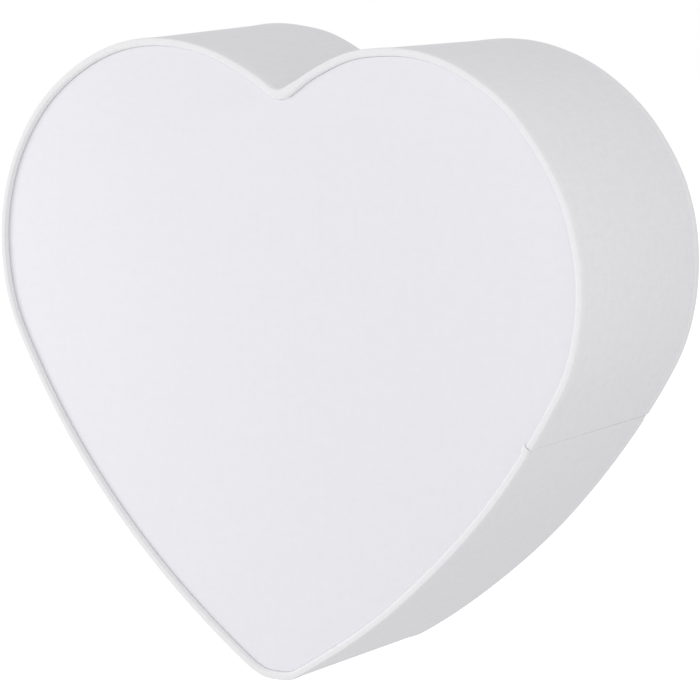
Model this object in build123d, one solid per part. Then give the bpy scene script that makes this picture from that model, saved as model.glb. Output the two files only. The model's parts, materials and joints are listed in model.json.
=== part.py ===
"""Heart-shaped wall light: a rolled-edge fabric shade on a wire carrier, over a two-bulb wall unit.

Millimetres. X runs to the right seen from the room, Z runs up, and the wall is the plane Y = 0.
Depths are distances from the wall into the room, so a depth of d lies at Y = -d.
The origin is on the wall, at the height where the heart is widest.
"""

from build123d import *
from math import atan2, cos, degrees, hypot, radians, sin, sqrt
import os

# Shade outline: one lobe arc, one long flank arc and half of the tip and notch arcs on each side.
shade_width = 380.0
shade_height = 344.0
lobe_radius = 116.5
flank_radius = 460.0
tip_radius = 32.0
notch_radius = 4.0

# Shade section, from the wall outwards.
wall_gap = 3.0
ring_spacing = 115.6
roll_radius = 2.2
roll_inset = 2.0
wire_radius = 1.5
wire_fit = 0.05
band_thickness = 1.0
seam_angle = -32.9
lap_step = 0.6
lap_blend_angle = 3.2
lap_bite = 0.05

# Front panel and the steel clips that its magnets hold on to.
panel_gap = 0.4
panel_thickness = 3.0
panel_recess = 2.0
panel_edge_round = 0.6
magnet_radius = 5.0
magnet_thickness = 3.0
magnet_inset = 12.0
clip_thickness = 0.8
clip_reach = 18.0
clip_height = 10.0
clip_length = 24.0
lobe_clip_angles = (95.0, 15.0)
flank_clip_angle = -46.0

# Wire rails that carry the shade, and the tabs welded on them.
rail_radius = 1.75
rail_height = 57.0
rail_seat = 0.25
rail_bend_radius = 12.0
rail_flat_half = 105.0
rail_crank_half = 130.0
rail_end_gap = 0.65
rail_notch_gap = 0.1
tab_thickness = 1.5
tab_width = 60.0
tab_bottom = 36.0
tab_top = 62.0
tab_corner = 4.0

# Wall unit.
bar_width = 22.0
bar_half_height = 50.6
bar_thickness = 2.0
bar_corner = 3.0
bar_lug_depth = 12.0
bar_lug_width = 12.0
lug_hole_radius = 2.0
wall_slot_spacing = 60.0
wall_slot_width = 4.8
wall_slot_length = 12.0
tray_width = 90.0
tray_height = 104.0
tray_depth = 20.0
tray_sheet = 1.2
tray_corner = 8.0
tray_edge_round = 2.0
stud_radius = 1.95
stud_height = 46.0
stud_end_depth = 28.0
stud_hole_radius = 2.3
stud_collar_radius = 2.5
stud_collar_length = 1.5
side_screw_depth = 7.0
side_screw_radius = 1.95
side_screw_length = 3.6
side_screw_hole_radius = 2.2
side_screw_head_radius = 3.5

# Slotted pan-head screws.
pan_head_height = 2.2
pan_head_round = 0.99
pan_slot_width = 0.9
pan_slot_depth = 0.8

# Thumb nuts.
nut_radius = 7.0
nut_length = 9.0
nut_bore_radius = 2.2
nut_bore_depth = 7.0
nut_flutes = 16
nut_flute_radius = 0.95
nut_flute_offset = 0.5
nut_collar = 1.0
nut_edge_round = 1.2
washer_radius = 6.0
washer_thickness = 1.0

# Terminal block and earthing point inside the tray.
block_inner = 18.0
block_width = 18.0
block_bottom = -16.0
block_top = 14.0
block_depth = 13.0
block_base = 4.0
block_tower_gap = 2.0
block_tower_corner = 1.5
way_radius = 2.4
way_drop = 5.6
terminal_pitch = 10.0
terminal_heights = (-11.0, -1.0, 9.0)
terminal_screw_columns = (22.5, 31.5)
terminal_hole_radius = 1.9
terminal_screw_drop = 0.6
terminal_head_radius = 1.8
terminal_head_height = 1.6
terminal_slot_width = 0.6
terminal_slot_depth = 0.7
terminal_point_radius = 1.1
terminal_point_length = 2.4
insert_wall = 0.9
insert_end_gap = 1.0
insert_hole_radius = 1.2
earth_x = 14.0
earth_height = -28.0
earth_screw_radius = 2.0
earth_screw_length = 5.6
earth_head_radius = 3.6
earth_nut_flats = 7.0
earth_nut_thickness = 2.6
earth_ring_radius = 4.0
earth_neck_width = 2.4
earth_neck_length = 6.5
earth_tag_thickness = 0.8
earth_barrel_radius = 1.6
earth_barrel_start = 6.0
earth_barrel_length = 6.0
earth_crimp = 1.5
earth_lead_rise = 7.0
earth_lead_bend = 2.5
lead_start_gap = 0.5

# Lampholder bracket, lampholders and lamps, which lie on one axis along X.
lamp_axis_depth = 64.0
bracket_leg = 20.0
bracket_width = 30.0
bracket_sheet = 1.5
bracket_end_depth = 78.0
bracket_bend = 3.0
bracket_end_corner = 8.0
bracket_hole_gap = 0.2
rivet_spacing = 24.0
rivet_radius = 2.0
rivet_head_radius = 4.0
rivet_head_height = 1.6
rivet_head_round = 1.1
rivet_clench_radius = 3.2
rivet_clench_height = 1.5
bush_radius = 5.0
bush_wall = 1.4
bush_flange_radius = 6.6
bush_flange_thickness = 1.2
nipple_radius = 5.0
nipple_bore_radius = 3.7
nipple_start = 14.5
nipple_end = 32.0
nipple_chamfer = 0.5
holder_nut_flats = 14.0
holder_nut_thickness = 3.0
lead_radius = 1.0
lead_spread = 1.05
lead_column = 1.25
lead_lane = 1.1
lead_turn = 7.0
lead_bends = (3.0, 4.0, 8.0)
holder_radius = 19.0
holder_wall = 2.0
core_back = 37.0
core_front = 47.0
core_radius = 16.7
core_step_radius = 15.0
skirt_start = 43.0
skirt_end = 78.0
skirt_radius = 20.0
skirt_bore_radius = 13.75
skirt_taper = 6.0
skirt_mouth_length = 2.0
skirt_mouth_slope = 1.2
skirt_flutes = 12
skirt_flute_radius = 2.2
skirt_flute_offset = 1.5
skirt_flute_length = 25.0
tongue_width = 5.0
tip_face = 50.0
contact_radius = 4.7
contact_height = 1.0
insulator_radius = 10.0
cap_start = 53.0
cap_end = 78.5
bulb_cap_radius = 13.25
cap_shoulder_radius = 12.25
cap_shoulder_length = 1.5
housing_foot_radius = 13.0
housing_lip_radius = 14.4
housing_lip_length = 1.5
housing_waist_radius = 18.2
globe_start = 112.0
globe_centre = 128.0
globe_thickness = 1.2
bulb_radius = 30.0

# Derived depths.
back_ring_depth = wall_gap + roll_radius
front_ring_depth = back_ring_depth + ring_spacing
panel_front_depth = front_ring_depth + roll_radius - panel_recess
panel_back_depth = panel_front_depth - panel_thickness
panel_inset = roll_inset + roll_radius + panel_gap
clip_face_depth = panel_back_depth - magnet_thickness
rail_depth = tray_depth + tab_thickness + rail_radius - rail_seat
bracket_face_depth = tray_depth + bracket_sheet
tray_face_depth = tray_depth - tray_sheet
block_middle = block_inner + block_width / 2
block_top_depth = tray_face_depth - block_depth
terminal_wire_depth = block_top_depth + way_drop
earth_barrel_depth = tray_face_depth - earth_barrel_radius
globe_start_radius = sqrt(bulb_radius**2 - (globe_centre - globe_start) ** 2)
washer_front_depth = tray_depth + tab_thickness + washer_thickness

# Arc centres of the outline as (x, z), for the right-hand side.
lobe_centre = (shade_width / 2 - lobe_radius, 0.0)
notch_centre = (0.0, sqrt((lobe_radius + notch_radius) ** 2 - lobe_centre[0] ** 2))
tip_centre = (0.0, lobe_radius - shade_height + tip_radius)


def heading(start, end):
    """Angle in degrees of the direction from one (x, z) point to another."""
    return degrees(atan2(end[1] - start[1], end[0] - start[0]))


def flank_arc_centre():
    """Centre of the flank arc, which is tangent to the lobe arc and the tip arc from outside them."""
    to_lobe = flank_radius - lobe_radius
    to_tip = flank_radius - tip_radius
    span = hypot(tip_centre[0] - lobe_centre[0], tip_centre[1] - lobe_centre[1])
    along = (to_lobe**2 - to_tip**2 + span**2) / (2 * span)
    across = sqrt(to_lobe**2 - along**2)
    ux = (tip_centre[0] - lobe_centre[0]) / span
    uz = (tip_centre[1] - lobe_centre[1]) / span
    return (lobe_centre[0] + along * ux + across * uz, lobe_centre[1] + along * uz - across * ux)


flank_centre = flank_arc_centre()
lobe_start = heading(lobe_centre, notch_centre)
lobe_end = heading(flank_centre, lobe_centre)
flank_end = heading(flank_centre, tip_centre)


def polar(centre, radius, angle):
    """Point at an angle on a circle, as (x, z)."""
    return (centre[0] + radius * cos(radians(angle)), centre[1] + radius * sin(radians(angle)))


def outline_arcs(inset):
    """Arcs of the right half of the heart, moved inwards by the inset, from the notch to the tip.

    Each is a centre, a radius, a start angle and a signed turn in degrees.
    """
    notch_turn = heading(notch_centre, lobe_centre) + 90
    return [
        (notch_centre, notch_radius + inset, -90, notch_turn),
        (lobe_centre, lobe_radius - inset, lobe_start, lobe_end - lobe_start),
        (flank_centre, flank_radius - inset, lobe_end, flank_end - lobe_end),
        (tip_centre, tip_radius - inset, flank_end, -90 - flank_end),
    ]


def outline(inset):
    """Whole closed heart outline as a wire in the plane of the sketch."""
    arcs = []
    for (x, z), radius, start, turn in outline_arcs(inset):
        arcs.append(CenterArc((x, z), radius, start, turn))
        arcs.append(CenterArc((-x, z), radius, 180 - start, -turn))
    return Wire(arcs)


def at_depth(depth):
    """Sketch plane parallel to the wall, with local x along X and local y along Z, facing the room."""
    return Plane.XZ.offset(depth)


def slab(sketch, depth, thickness):
    """Sketch extruded towards the room from a depth."""
    return extrude(at_depth(depth) * sketch, thickness)


def peg(x, z, radius, depth, length):
    """Round peg that stands out from the wall."""
    return slab(Pos(x, z) * Circle(radius), depth, length)


def heart_rod(inset, depth, radius):
    """Round rod bent along the heart outline."""
    path = at_depth(depth) * outline(inset)
    start = path @ 0
    section = Plane(origin=start, x_dir=(0, 1, 0), z_dir=path % 0) * Circle(radius)
    return sweep(section, path=path)


def lamp_point(side, distance, radius):
    """Point beside the lamp axis in the horizontal plane through it."""
    return (side * distance, radius - lamp_axis_depth)


def turned(side, points):
    """Solid of revolution about the lamp axis, from (distance from the middle, radius) points."""
    corners = [lamp_point(side, x, radius) for x, radius in points]
    profile = make_face(Polyline(*corners, close=True))
    return revolve(profile, Axis((0, -lamp_axis_depth, 0), (1, 0, 0)))


def wire_sweep(points, radius, bend_radius):
    """Round wire along straight runs joined by tangent bends."""
    path = FilletPolyline(*points, radius=bend_radius)
    section = Plane(origin=path @ 0, z_dir=path % 0) * Circle(radius)
    return sweep(section, path=path)


# Shade.


def lap_wedge():
    """Cross-section of the outer end of the strip, which steps off the strip below it at the seam."""
    foot = polar(flank_centre, flank_radius - band_thickness / 2, seam_angle)
    lip = polar(flank_centre, flank_radius + lap_step, seam_angle)
    blend = polar(flank_centre, flank_radius - lap_bite, seam_angle + lap_blend_angle)
    inner = polar(flank_centre, flank_radius - band_thickness / 2, seam_angle + lap_blend_angle)
    return make_face(Polyline(foot, lip, blend, inner, close=True))


def shade_band(rolls):
    """Laminated strip bent into the heart, glued in a lap seam, with its ends seated on the rolls."""
    strip = make_face(outline(0)) + lap_wedge() - make_face(outline(band_thickness))
    band = slab(strip, back_ring_depth, ring_spacing)
    for roll in rolls:
        band -= roll
    return band


def rail_path(level):
    """Points of a rail, cranked from the back ring out to the front of the tabs."""
    ring_half = lobe_centre[0] + sqrt((lobe_radius - roll_inset) ** 2 - rail_height**2)
    return [
        (rail_end_gap - ring_half, -back_ring_depth, level),
        (-rail_crank_half, -back_ring_depth, level),
        (-rail_flat_half, -rail_depth, level),
        (rail_flat_half, -rail_depth, level),
        (rail_crank_half, -back_ring_depth, level),
        (ring_half - rail_end_gap, -back_ring_depth, level),
    ]


def rail(level, ring_wire, tab):
    """Steel wire across the shade, saddled on the back ring and flattened where the tab is welded."""
    return wire_sweep(rail_path(level), rail_radius, rail_bend_radius) - ring_wire - tab


def hanger_tab(direction):
    """Sheet tab that hangs the rail on a stud of the wall unit."""
    middle = direction * (tab_bottom + tab_top) / 2
    blank = Pos(0, middle) * RectangleRounded(tab_width, tab_top - tab_bottom, tab_corner)
    hole = Pos(0, direction * stud_height) * Circle(stud_hole_radius)
    return slab(blank - hole, tray_depth, tab_thickness)


def clip_sector(centre, wall_radius, angle):
    """Steel angle on the inside of the band, with a flange for one magnet."""
    turn = degrees(clip_length / wall_radius)
    flange_radius = wall_radius + band_thickness - clip_reach
    wall_foot = clip_face_depth - clip_height
    section = [
        (flange_radius, clip_face_depth),
        (wall_radius, clip_face_depth),
        (wall_radius, wall_foot),
        (wall_radius - clip_thickness, wall_foot),
        (wall_radius - clip_thickness, clip_face_depth - clip_thickness),
        (flange_radius, clip_face_depth - clip_thickness),
    ]
    start = radians(angle - turn / 2)
    corners = [(centre[0] + r * cos(start), -depth, centre[1] + r * sin(start)) for r, depth in section]
    profile = make_face(Polyline(*corners, close=True))
    return revolve(profile, Axis((centre[0], 0, centre[1]), (0, -1, 0)), turn)


def panel_clips():
    """Six clips, mirrored about the middle of the heart."""
    right = [clip_sector(lobe_centre, lobe_radius - band_thickness, angle) for angle in lobe_clip_angles]
    right.append(clip_sector(flank_centre, flank_radius - band_thickness, flank_clip_angle))
    return Compound(children=right + [mirror(clip, about=Plane.YZ) for clip in right])


def face_panel():
    """Fabric-laminated panel that fills the front, with a rounded front edge."""
    board = slab(make_face(outline(panel_inset)), panel_back_depth, panel_thickness)
    front_edges = board.faces().sort_by(Axis.Y)[0].edges()
    return fillet(front_edges, panel_edge_round)


def panel_magnets():
    """Disc magnets glued on the back of the panel, one over each clip."""
    places = [polar(lobe_centre, lobe_radius - magnet_inset, angle) for angle in lobe_clip_angles]
    places.append(polar(flank_centre, flank_radius - magnet_inset, flank_clip_angle))
    discs = []
    for x, z in places:
        for side in (-1, 1):
            discs.append(peg(side * x, z, magnet_radius, clip_face_depth, magnet_thickness))
    return Compound(children=discs)


# Wall unit.


def wall_bar():
    """Steel strip screwed to the wall, with two slots and an end lug for each side screw."""
    strip = RectangleRounded(bar_width, 2 * bar_half_height, bar_corner)
    for direction in (-1, 1):
        slot = Pos(0, direction * wall_slot_spacing / 2) * Rot(0, 0, 90)
        strip -= slot * SlotOverall(wall_slot_length, wall_slot_width)
    bar = slab(strip, 0, bar_thickness)
    for direction in (-1, 1):
        foot = Pos(0, direction * (bar_half_height - bar_thickness / 2))
        lug = slab(foot * Rectangle(bar_lug_width, bar_thickness), 0, bar_lug_depth)
        hole_plane = Plane(origin=(0, -side_screw_depth, 0), z_dir=(0, 0, direction))
        bar += lug
        bar -= extrude(hole_plane * Circle(lug_hole_radius), bar_half_height)
        bar -= peg(0, direction * stud_height, stud_radius, 0, bar_thickness)
    return bar


def wall_plate():
    """Sheet tray over the bar, open towards the wall, with folded sides."""
    outside = RectangleRounded(tray_width, tray_height, tray_corner)
    inside = offset(outside, -tray_sheet)
    tray = slab(outside, 0, tray_depth)
    tray = fillet(tray.faces().sort_by(Axis.Y)[0].edges(), tray_edge_round)
    tray -= slab(inside, 0, tray_face_depth)
    for direction in (-1, 1):
        tray -= peg(0, direction * stud_height, stud_hole_radius, tray_face_depth, tray_sheet)
        tray -= peg(direction * rivet_spacing / 2, 0, rivet_radius, tray_face_depth, tray_sheet)
        side_plane = Plane(origin=(0, -side_screw_depth, 0), z_dir=(0, 0, direction))
        tray -= extrude(side_plane * Circle(side_screw_hole_radius), tray_height)
    tray -= peg(0, 0, bush_radius, tray_face_depth, tray_sheet)
    return tray - peg(earth_x, earth_height, earth_screw_radius, tray_face_depth, tray_sheet)


def stud(direction):
    """Threaded stud pressed into the bar."""
    shank = peg(0, direction * stud_height, stud_radius, 0, stud_end_depth)
    collar = peg(0, direction * stud_height, stud_collar_radius, bar_thickness, stud_collar_length)
    return shank + collar


def pan_screw(plane, shank_radius, shank_length, head_radius):
    """Screw whose head sits on a plane and whose shank goes back through it."""
    head = extrude(plane * Circle(head_radius), pan_head_height)
    rim = head.edges().filter_by(GeomType.CIRCLE).sort_by(plane_axis(plane))[-1]
    head = fillet(rim, pan_head_round)
    slot_foot = plane.offset(pan_head_height - pan_slot_depth)
    slot = extrude(slot_foot * Rectangle(2 * head_radius, pan_slot_width), pan_slot_depth)
    shank = extrude(plane * Circle(shank_radius), -shank_length)
    return head + shank - slot


def plane_axis(plane):
    """Axis through a plane's origin along its normal."""
    return Axis(plane.origin, plane.z_dir)


def side_screws():
    """Two screws through the tray's top and bottom walls into the lugs of the bar."""
    screws = []
    for direction in (-1, 1):
        seat = Plane(origin=(0, -side_screw_depth, direction * tray_height / 2), z_dir=(0, 0, direction))
        screws.append(pan_screw(seat, side_screw_radius, side_screw_length, side_screw_head_radius))
    return Compound(children=screws)


def cable_bush():
    """Soft bush that lines the cable hole of the tray and the bracket."""
    start = tray_face_depth - bush_flange_thickness
    length = bracket_face_depth + bush_flange_thickness - start
    bush = peg(0, 0, bush_radius, start, length)
    for flange_depth in (start, bracket_face_depth):
        bush += peg(0, 0, bush_flange_radius, flange_depth, bush_flange_thickness)
    return bush - peg(0, 0, bush_radius - bush_wall, start, length)


def terminal_block():
    """Three-way terminal block glued inside the tray: a tower for each way, bored for wire and screws."""
    middle = Pos(block_middle, (block_bottom + block_top) / 2)
    base = middle * Rectangle(block_width, block_top - block_bottom)
    block = slab(base, tray_face_depth - block_base, block_base)
    for height in terminal_heights:
        tower = RectangleRounded(block_width, terminal_pitch - block_tower_gap, block_tower_corner)
        block += slab(Pos(block_middle, height) * tower, block_top_depth, block_depth - block_base)
        block -= extrude(wire_way(height, block_inner) * Circle(way_radius), block_width)
        for x in terminal_screw_columns:
            block -= peg(x, height, terminal_hole_radius, block_top_depth, way_drop)
    return block


def wire_way(height, x):
    """Sketch plane across one wire way of the block, facing away from the lampholders."""
    return Plane(origin=(x, -terminal_wire_depth, height), z_dir=(1, 0, 0))


def terminal_inserts():
    """Brass tubes in which the terminal screws clamp the wires."""
    inserts = []
    for height in terminal_heights:
        ring = Circle(way_radius) - Circle(way_radius - insert_wall)
        start = wire_way(height, block_inner + insert_end_gap)
        tube = extrude(start * ring, block_width - 2 * insert_end_gap)
        for x in terminal_screw_columns:
            tube -= peg(x, height, insert_hole_radius, block_top_depth, way_drop)
        inserts.append(tube)
    return Compound(children=inserts)


def terminal_screws():
    """Slotted clamping screws, seen from the open back of the tray."""
    screws = []
    top_depth = block_top_depth + terminal_screw_drop
    slot_sketch = Rectangle(2 * terminal_head_radius, terminal_slot_width)
    for height in terminal_heights:
        for x in terminal_screw_columns:
            head = peg(x, height, terminal_head_radius, top_depth, terminal_head_height)
            slot = slab(Pos(x, height) * slot_sketch, top_depth, terminal_slot_depth)
            point_depth = top_depth + terminal_head_height
            point = peg(x, height, terminal_point_radius, point_depth, terminal_point_length)
            screws.append(head - slot + point)
    return Compound(children=screws)


def earth_screw():
    """Earthing screw through the tray, with its head in the room."""
    seat = Plane(origin=(earth_x, -tray_depth, earth_height), x_dir=(1, 0, 0), z_dir=(0, -1, 0))
    return pan_screw(seat, earth_screw_radius, earth_screw_length, earth_head_radius)


def hexagon_nut(plane, across_flats, bore_radius, thickness):
    """Plain hexagon nut standing on a plane."""
    hexagon = RegularPolygon(across_flats / 2, 6, major_radius=False)
    return extrude(plane * (hexagon - Circle(bore_radius)), thickness)


def earth_nut():
    """Nut that clamps the ring tag against the tray."""
    seat = Plane(origin=(earth_x, earth_tag_thickness - tray_face_depth, earth_height), z_dir=(0, 1, 0))
    return hexagon_nut(seat, earth_nut_flats, earth_screw_radius, earth_nut_thickness)


def earth_tag():
    """Ring tag with a crimped barrel on the end of the earth lead."""
    neck = Pos(0, earth_neck_length / 2) * Rectangle(earth_neck_width, earth_neck_length)
    blank = Pos(earth_x, earth_height) * (Circle(earth_ring_radius) + neck - Circle(earth_screw_radius))
    tag = slab(blank, tray_face_depth - earth_tag_thickness, earth_tag_thickness)
    foot = Plane(origin=(earth_x, -earth_barrel_depth, earth_height + earth_barrel_start), z_dir=(0, 0, 1))
    tag += extrude(foot * Circle(earth_barrel_radius), earth_barrel_length)
    return tag - extrude(foot.offset(earth_crimp) * Circle(lead_radius), earth_barrel_length)


def earth_lead():
    """Short lead from the earth way of the block down into the barrel of the ring tag."""
    lead_end = earth_height + earth_barrel_start + earth_crimp
    points = [
        (block_inner + lead_start_gap, -terminal_wire_depth, terminal_heights[0]),
        (earth_x, -terminal_wire_depth, terminal_heights[0]),
        (earth_x, -earth_barrel_depth, lead_end + earth_lead_rise),
        (earth_x, -earth_barrel_depth, lead_end),
    ]
    return wire_sweep(points, lead_radius, earth_lead_bend)


def lampholder_lead(side, height, lane):
    """Lead from the block through the bush, out between the bracket legs and into a lampholder."""
    depth = terminal_wire_depth + side * lead_spread
    column = side * lead_column
    points = [
        (block_inner + lead_start_gap, -depth, height),
        (block_inner - lead_turn, -depth, height),
        (column, -depth, lane),
        (column, -lamp_axis_depth, lane),
        (side * core_back, -lamp_axis_depth, lane),
    ]
    return wire_sweep(points, lead_radius, lead_bends)


def holder_bracket():
    """Bent sheet U that holds a lampholder on each leg."""
    reach = bracket_end_depth - tray_depth
    outer = Pos(0, -tray_depth - reach / 2) * Rectangle(2 * bracket_leg, reach)
    outer = fillet(outer.vertices().sort_by(Axis.Y)[-2:], bracket_bend)
    inner_reach = reach - bracket_sheet
    inner_leg = bracket_leg - bracket_sheet
    inner = Pos(0, -bracket_end_depth + inner_reach / 2) * Rectangle(2 * inner_leg, inner_reach)
    inner = fillet(inner.vertices().sort_by(Axis.Y)[-2:], bracket_bend - bracket_sheet)
    bracket = extrude(outer - inner, bracket_width / 2, both=True)
    ends = bracket.edges().filter_by(Axis.X).group_by(Axis.Y)[0]
    bracket = fillet(ends, bracket_end_corner)
    tube_hole = Plane.YZ * Pos(-lamp_axis_depth, 0) * Circle(nipple_radius + bracket_hole_gap)
    bracket -= extrude(tube_hole, bracket_leg, both=True)
    bracket -= peg(0, 0, bush_radius, tray_depth, bracket_sheet)
    for side in (-1, 1):
        bracket -= peg(side * rivet_spacing / 2, 0, rivet_radius, tray_depth, bracket_sheet)
    return bracket


def bracket_rivets():
    """Two rivets through the bracket and the tray, domed in front and clenched behind."""
    rivets = []
    for side in (-1, 1):
        x = side * rivet_spacing / 2
        dome = peg(x, 0, rivet_head_radius, bracket_face_depth, rivet_head_height)
        dome = fillet(dome.edges().sort_by(Axis.Y)[0], rivet_head_round)
        shank = peg(x, 0, rivet_radius, tray_face_depth, bracket_face_depth - tray_face_depth)
        clench_depth = tray_face_depth - rivet_clench_height
        clench = peg(x, 0, rivet_clench_radius, clench_depth, rivet_clench_height)
        rivets.append(dome + shank + clench)
    return Compound(children=rivets)


def holder_nipple(side):
    """Threaded tube that joins a lampholder to its bracket leg and leads the wires in."""
    return turned(
        side,
        [
            (nipple_start, nipple_bore_radius),
            (nipple_start, nipple_radius - nipple_chamfer),
            (nipple_start + nipple_chamfer, nipple_radius),
            (nipple_end, nipple_radius),
            (nipple_end, nipple_bore_radius),
        ],
    )


def holder_nuts():
    """Hexagon nuts that tighten the two tubes against the inside of the bracket legs."""
    nuts = []
    for side in (-1, 1):
        face = side * (bracket_leg - bracket_sheet)
        seat = Plane(origin=(face, -lamp_axis_depth, 0), x_dir=(0, 1, 0), z_dir=(-side, 0, 0))
        nuts.append(hexagon_nut(seat, holder_nut_flats, nipple_radius, holder_nut_thickness))
    return Compound(children=nuts)


def lampholder_cap(side):
    """Domed rear shell of a lampholder, screwed on the tube."""
    return turned(
        side,
        [
            (bracket_leg, nipple_radius),
            (bracket_leg, 9.0),
            (bracket_leg + 3.5, 9.6),
            (bracket_leg + 6.0, 12.0),
            (bracket_leg + 9.0, 15.8),
            (bracket_leg + 12.0, 18.2),
            (bracket_leg + 15.0, holder_radius),
            (skirt_start, holder_radius),
            (skirt_start, holder_radius - holder_wall),
            (bracket_leg + 15.5, holder_radius - holder_wall),
            (bracket_leg + 10.5, 14.4),
            (bracket_leg + 6.5, 9.0),
            (bracket_leg + 6.5, nipple_radius),
        ],
    )


def lampholder_core(side):
    """Moulded core that carries the contacts, clamped between the cap and the skirt."""
    return turned(
        side,
        [
            (core_back, 0),
            (core_back, core_radius),
            (skirt_start, core_radius),
            (skirt_start, core_step_radius),
            (core_front, core_step_radius),
            (core_front, 0),
        ],
    )


def lampholder_skirt(side):
    """Front shell of a lampholder, with a shoulder on the core and finger flutes outside."""
    skirt = turned(
        side,
        [
            (skirt_start, holder_radius - holder_wall),
            (skirt_start, holder_radius),
            (skirt_start + skirt_taper, skirt_radius),
            (skirt_end - skirt_mouth_length, skirt_radius),
            (skirt_end, skirt_radius - skirt_mouth_slope),
            (skirt_end, skirt_bore_radius),
            (core_front, skirt_bore_radius),
            (core_front, holder_radius - holder_wall),
        ],
    )
    mouth = Plane(origin=(side * skirt_end, -lamp_axis_depth, 0), z_dir=(-side, 0, 0))
    places = PolarLocations(skirt_radius + skirt_flute_offset, skirt_flutes)
    flutes = Sketch() + places * Circle(skirt_flute_radius)
    return skirt - extrude(mouth * flutes, skirt_flute_length)


def lampholder_contacts(side):
    """Spring tongues on the core: one for the tip of the lamp and one for the rim of its cap."""
    tip_tongue = [(0, 10), (0.5, 10), (0.5, 4), (3, 1.5), (3, -3), (2.5, -3), (2.5, 1.3), (0, 3.8)]
    rim_foot = [(0.5, -8.5), (0, -8.5), (0, -12.5), (0.5, -12.5)]
    rim_tongue = rim_foot + [(5.6, -11.7), (5.6, -11.2), (0.5, -11.9)]
    tongues = []
    for points in (tip_tongue, rim_tongue):
        corners = [(side * (core_front + a), t - lamp_axis_depth) for a, t in points]
        tongues.append(extrude(make_face(Polyline(*corners, close=True)), tongue_width / 2, both=True))
    return Compound(children=tongues)


# Lamps.


def bulb_tip(side):
    """Centre contact of a lamp and the insulator round it."""
    return turned(
        side,
        [
            (tip_face, 0),
            (tip_face, contact_radius),
            (tip_face + contact_height, contact_radius),
            (cap_start, insulator_radius),
            (cap_start, 0),
        ],
    )


def bulb_cap(side):
    """Screw cap of a lamp."""
    return turned(
        side,
        [
            (cap_start, 0),
            (cap_start, cap_shoulder_radius),
            (cap_start + cap_shoulder_length, bulb_cap_radius),
            (cap_end, bulb_cap_radius),
            (cap_end, 0),
        ],
    )


def bulb_housing(side):
    """Flared driver housing between the cap and the globe."""
    lip = lamp_point(side, cap_end + housing_lip_length, housing_lip_radius)
    flare = ThreePointArc(
        lip,
        lamp_point(side, (cap_end + globe_start) / 2, housing_waist_radius),
        lamp_point(side, globe_start, globe_start_radius),
    )
    outline_points = [
        lamp_point(side, globe_start, globe_start_radius),
        lamp_point(side, globe_start, 0),
        lamp_point(side, cap_end, 0),
        lamp_point(side, cap_end, housing_foot_radius),
        lip,
    ]
    profile = make_face([flare, *Polyline(*outline_points).edges()])
    return revolve(profile, Axis((0, -lamp_axis_depth, 0), (1, 0, 0)))


def bulb_globe(side):
    """Opal globe, a hollow part sphere seated on the housing."""
    ball = Circle(bulb_radius) - Circle(bulb_radius - globe_thickness)
    half = Pos(side * globe_centre, -lamp_axis_depth) * ball
    keep_width = globe_centre + bulb_radius - globe_start
    window = Pos(side * (globe_start + keep_width / 2), -lamp_axis_depth + bulb_radius / 2)
    half &= window * Rectangle(keep_width, bulb_radius)
    return revolve(half, Axis((0, -lamp_axis_depth, 0), (1, 0, 0)))


# Thumb nuts.


def thumb_nut(direction):
    """Fluted hand nut with a blind bore, run on a stud."""
    z = direction * stud_height
    nut = peg(0, z, nut_radius, washer_front_depth, nut_length)
    nut = fillet(nut.edges().filter_by(GeomType.CIRCLE).sort_by(Axis.Y)[0], nut_edge_round)
    flutes = Sketch() + PolarLocations(nut_radius + nut_flute_offset, nut_flutes) * Circle(nut_flute_radius)
    nut -= slab(Pos(0, z) * flutes, washer_front_depth + nut_collar, nut_length)
    return nut - peg(0, z, nut_bore_radius, washer_front_depth, nut_bore_depth)


def nut_washer(direction):
    """Plain washer that stays on the thumb nut."""
    ring = Pos(0, direction * stud_height) * (Circle(washer_radius) - Circle(nut_bore_radius))
    return slab(ring, washer_front_depth - washer_thickness, washer_thickness)


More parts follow.
